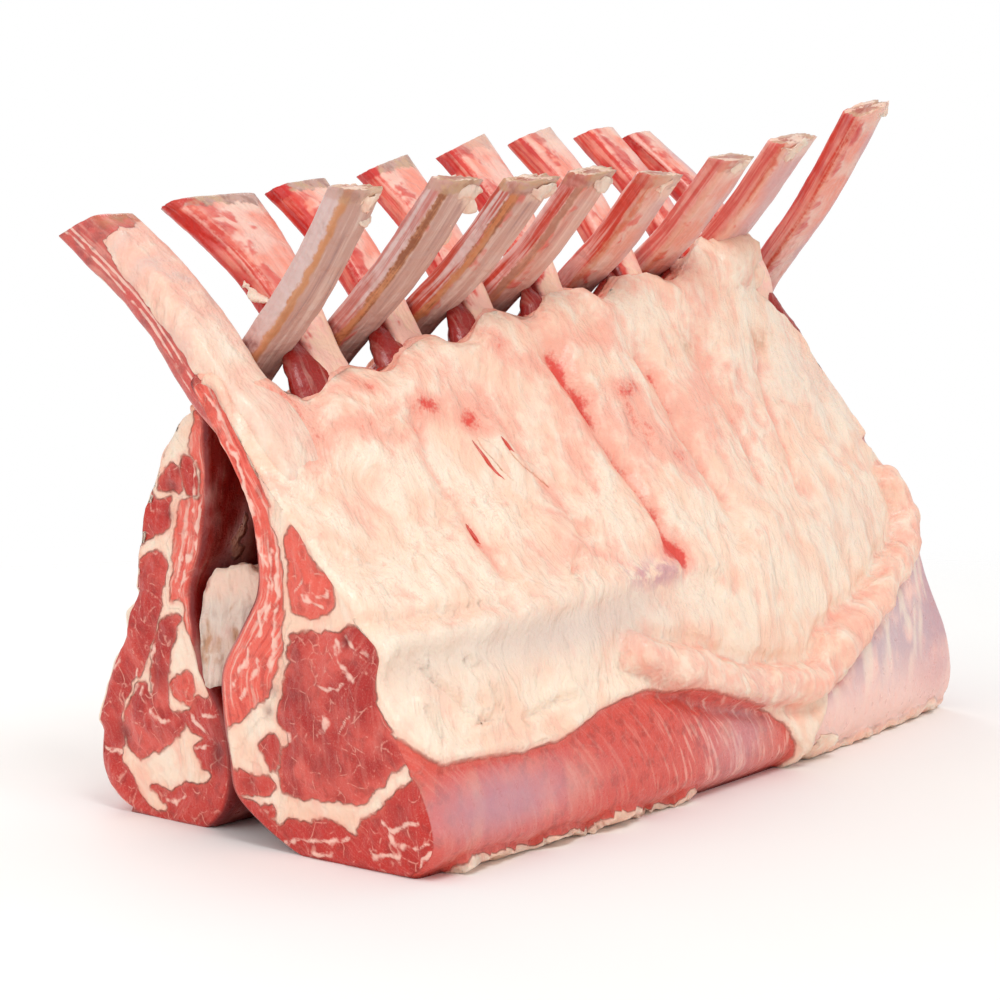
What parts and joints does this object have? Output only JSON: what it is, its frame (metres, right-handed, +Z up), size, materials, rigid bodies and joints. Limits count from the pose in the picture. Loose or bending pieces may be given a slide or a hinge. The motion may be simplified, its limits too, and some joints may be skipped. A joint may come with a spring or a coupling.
{
  "type": "guard of honour of lamb",
  "caption": "Raw frenched racks of lamb leaning together on their meat, fat outside, with bared ribs crossed over an open channel.",
  "frame": {"origin": "centre of the bounding box at the surface that the racks stand on", "axes": "+X along the racks, from the end that the picture shows nearest, +Z up, the near rack on the -Y side"},
  "size_m": [0.2767, 0.1126, 0.1634],
  "materials": {
    "fat": "satin, moist",
    "lean_meat": "moist",
    "rib_meat": "moist",
    "bone": "satin",
    "sawn_bone": "matte"
  },
  "bodies": {
    "root": {"near_fat": "fat", "near_rib_meat": "rib_meat", "near_eye_muscle": "lean_meat", "near_blade_muscle": "lean_meat", "near_cap_muscle": "lean_meat", "near_chine": "sawn_bone", "near_rib_1": "bone", "near_rib_2": "bone", "near_rib_3": "bone", "near_rib_4": "bone", "near_rib_5": "bone", "near_rib_6": "bone", "near_rib_7": "bone", "near_rib_8": "bone", "far_fat": "fat", "far_rib_meat": "rib_meat", "far_eye_muscle": "lean_meat", "far_blade_muscle": "lean_meat", "far_cap_muscle": "lean_meat", "far_rib_1": "bone", "far_rib_2": "bone", "far_rib_3": "bone", "far_rib_4": "bone", "far_rib_5": "bone", "far_rib_6": "bone", "far_rib_7": "bone", "far_rib_8": "bone", "backbone": "sawn_bone"}
  },
  "joints": []
}
